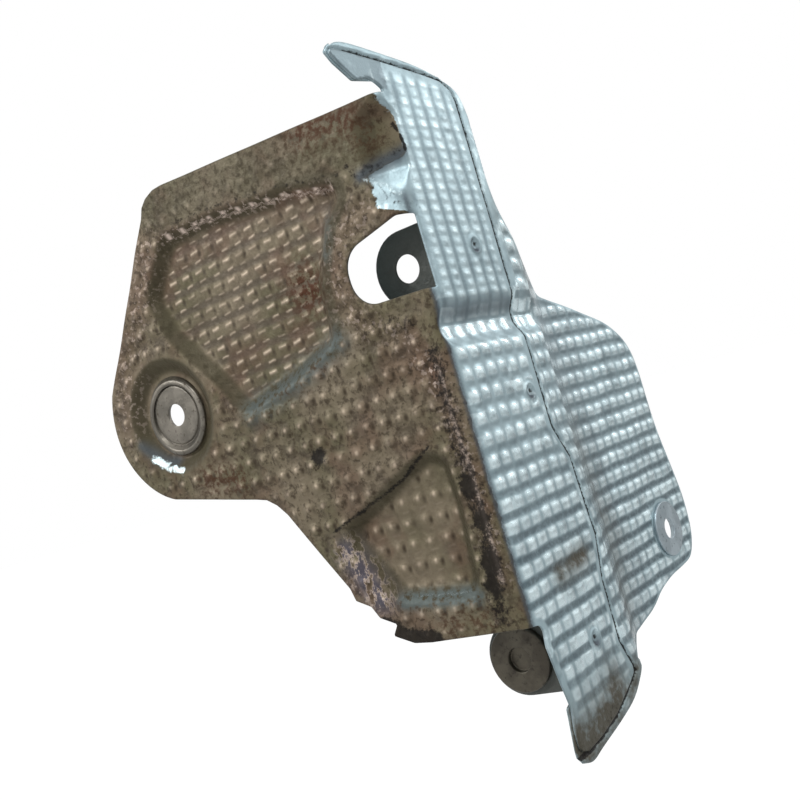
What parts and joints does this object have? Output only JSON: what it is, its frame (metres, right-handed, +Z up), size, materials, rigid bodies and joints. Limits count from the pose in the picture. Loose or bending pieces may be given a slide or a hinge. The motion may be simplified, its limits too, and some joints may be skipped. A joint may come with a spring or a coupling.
{
  "type": "engine bay heat shield",
  "caption": "Two-sheet embossed aluminium heat shield: a sooty pocketed face panel folded into a bright strip, lapped and clinched to a set-back side panel, with eyelets and bolt lugs.",
  "frame": {"origin": "on the axis of the seat bore, at the sunk floor of its eyelet where a bolt head bears", "axes": "+X along the face panel towards the fold, -Y out of the front of the face panel, +Z up along the fold"},
  "size_m": [0.1354, 0.1425, 0.1986],
  "materials": {
    "front_sheet": "embossed, browned by heat and soot on the face, bright on the strip",
    "rear_sheet": "embossed, dull silver",
    "eyelet": "plain pressed steel, darkened"
  },
  "bodies": {
    "root": {"front_shield": "front_sheet", "rear_shield": "rear_sheet", "seat_eyelet": "eyelet", "panel_eyelet": "eyelet", "lug_eyelet": "eyelet"}
  },
  "joints": []
}
